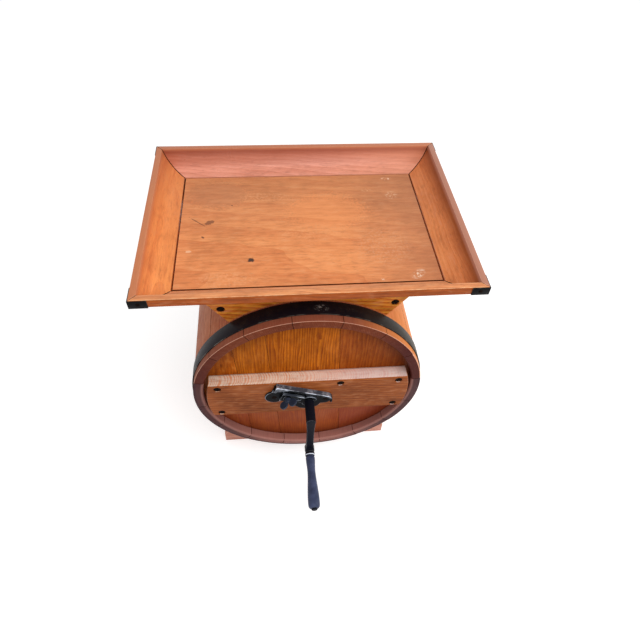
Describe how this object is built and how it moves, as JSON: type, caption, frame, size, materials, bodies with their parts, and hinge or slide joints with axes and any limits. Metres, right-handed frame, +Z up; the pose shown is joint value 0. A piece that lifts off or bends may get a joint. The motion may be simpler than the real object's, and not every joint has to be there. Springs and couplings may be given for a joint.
{
  "type": "barrel churn",
  "caption": "Cylinder butter churn: a stave barrel with sunk heads and iron hoops on cradle feet, a coved tray with a lift-out lid above, and a locked hand crank turning a dasher.",
  "frame": {"origin": "on the floor, at the middle of the churn's outline seen from above, crank and tray included", "axes": "+Z up, the barrel's axis level along Y with the crank end towards -Y, +X to the right seen from the crank end"},
  "size_m": [0.4944, 0.5162, 0.525],
  "materials": {
    "stave_wood": "varnished red-brown softwood staves",
    "head_wood": "glossy varnished upright boards",
    "frame_wood": "varnished, orange brown",
    "tray_wood": "satin varnish, coved boards",
    "lid_wood": "satin varnish, worn, grain left to right",
    "black_iron": "black strip iron with worn patches",
    "cast_iron": "black cast iron, bright on worn edges",
    "screw_iron": "dark steel screws",
    "black_painted_wood": "blue-black paint, smooth",
    "leather": "oiled leather",
    "bare_wood": "bare scrubbed wood"
  },
  "bodies": {
    "barrel": {"corner_irons": "black_iron", "corner_screws": "screw_iron", "frame_screws": "screw_iron", "front_crossbar": "frame_wood", "front_foot": "frame_wood", "front_head_board_1": "head_wood", "front_head_board_2": "head_wood", "front_head_board_3": "head_wood", "front_head_board_4": "head_wood", "front_hoop": "black_iron", "front_ledge": "frame_wood", "front_saddle": "frame_wood", "front_tray_board": "tray_wood", "leather_washers": "leather", "left_hopper_board": "frame_wood", "left_tray_board": "tray_wood", "lock_plate": "cast_iron", "lock_screws": "screw_iron", "rear_crossbar": "frame_wood", "rear_foot": "frame_wood", "rear_head_board_1": "head_wood", "rear_head_board_2": "head_wood", "rear_head_board_3": "head_wood", "rear_head_board_4": "head_wood", "rear_hoop": "black_iron", "rear_ledge": "frame_wood", "rear_pivot": "cast_iron", "rear_saddle": "frame_wood", "rear_tray_board": "tray_wood", "right_hopper_board": "frame_wood", "right_tray_board": "tray_wood", "shaft_bush": "cast_iron", "short_staves": "stave_wood", "stave_01": "stave_wood", "stave_02": "stave_wood", "stave_03": "stave_wood", "stave_04": "stave_wood", "stave_05": "stave_wood", "stave_06": "stave_wood", "stave_07": "stave_wood", "stave_08": "stave_wood", "stave_09": "stave_wood", "stave_10": "stave_wood", "stave_11": "stave_wood", "stave_12": "stave_wood", "stave_13": "stave_wood"},
    "crank": {"crank": "cast_iron", "grip_spindle": "cast_iron", "dasher_shaft": "bare_wood", "dasher_blade_1": "bare_wood", "dasher_blade_2": "bare_wood", "dasher_blade_3": "bare_wood", "dasher_blade_4": "bare_wood"},
    "grip": {"crank_grip": "black_painted_wood"},
    "clamp": {"clamp_bar": "cast_iron"},
    "washer": {"clamp_washer": "cast_iron"},
    "thumb_screw": {"thumb_screw": "cast_iron"},
    "lid": {"lid_panel": "lid_wood"}
  },
  "joints": [
    {"name": "crank_turn", "type": "hinge", "parent": "barrel", "child": "crank", "pos_m": [0, -0.10662, 0.245], "axis": [0, -1, 0], "continuous": true},
    {"name": "grip_spin", "type": "hinge", "parent": "crank", "child": "grip", "pos_m": [0, -0.19662, 0.14], "axis": [0, -1, 0], "continuous": true},
    {"name": "clamp_slide", "type": "slide", "parent": "barrel", "child": "clamp", "axis": [-0.9272, 0, 0.3746], "range_m": [0, 0.02]},
    {"name": "washer_slide", "type": "slide", "parent": "barrel", "child": "washer", "axis": [0, -1, 0], "range_m": [0, 0.0019]},
    {"name": "thumb_screw_turn", "type": "hinge", "parent": "washer", "child": "thumb_screw", "pos_m": [-0.03709, -0.10662, 0.25998], "axis": [0, -1, 0], "range_deg": [0, 540]},
    {"name": "lid_lift", "type": "slide", "parent": "barrel", "child": "lid", "axis": [0, 0, 1], "range_m": [0, 0.15]}
  ],
  "couplings": [
    {"joint": "thumb_screw_turn", "follows": "washer_slide", "rad_per_m": 4947.4}
  ]
}
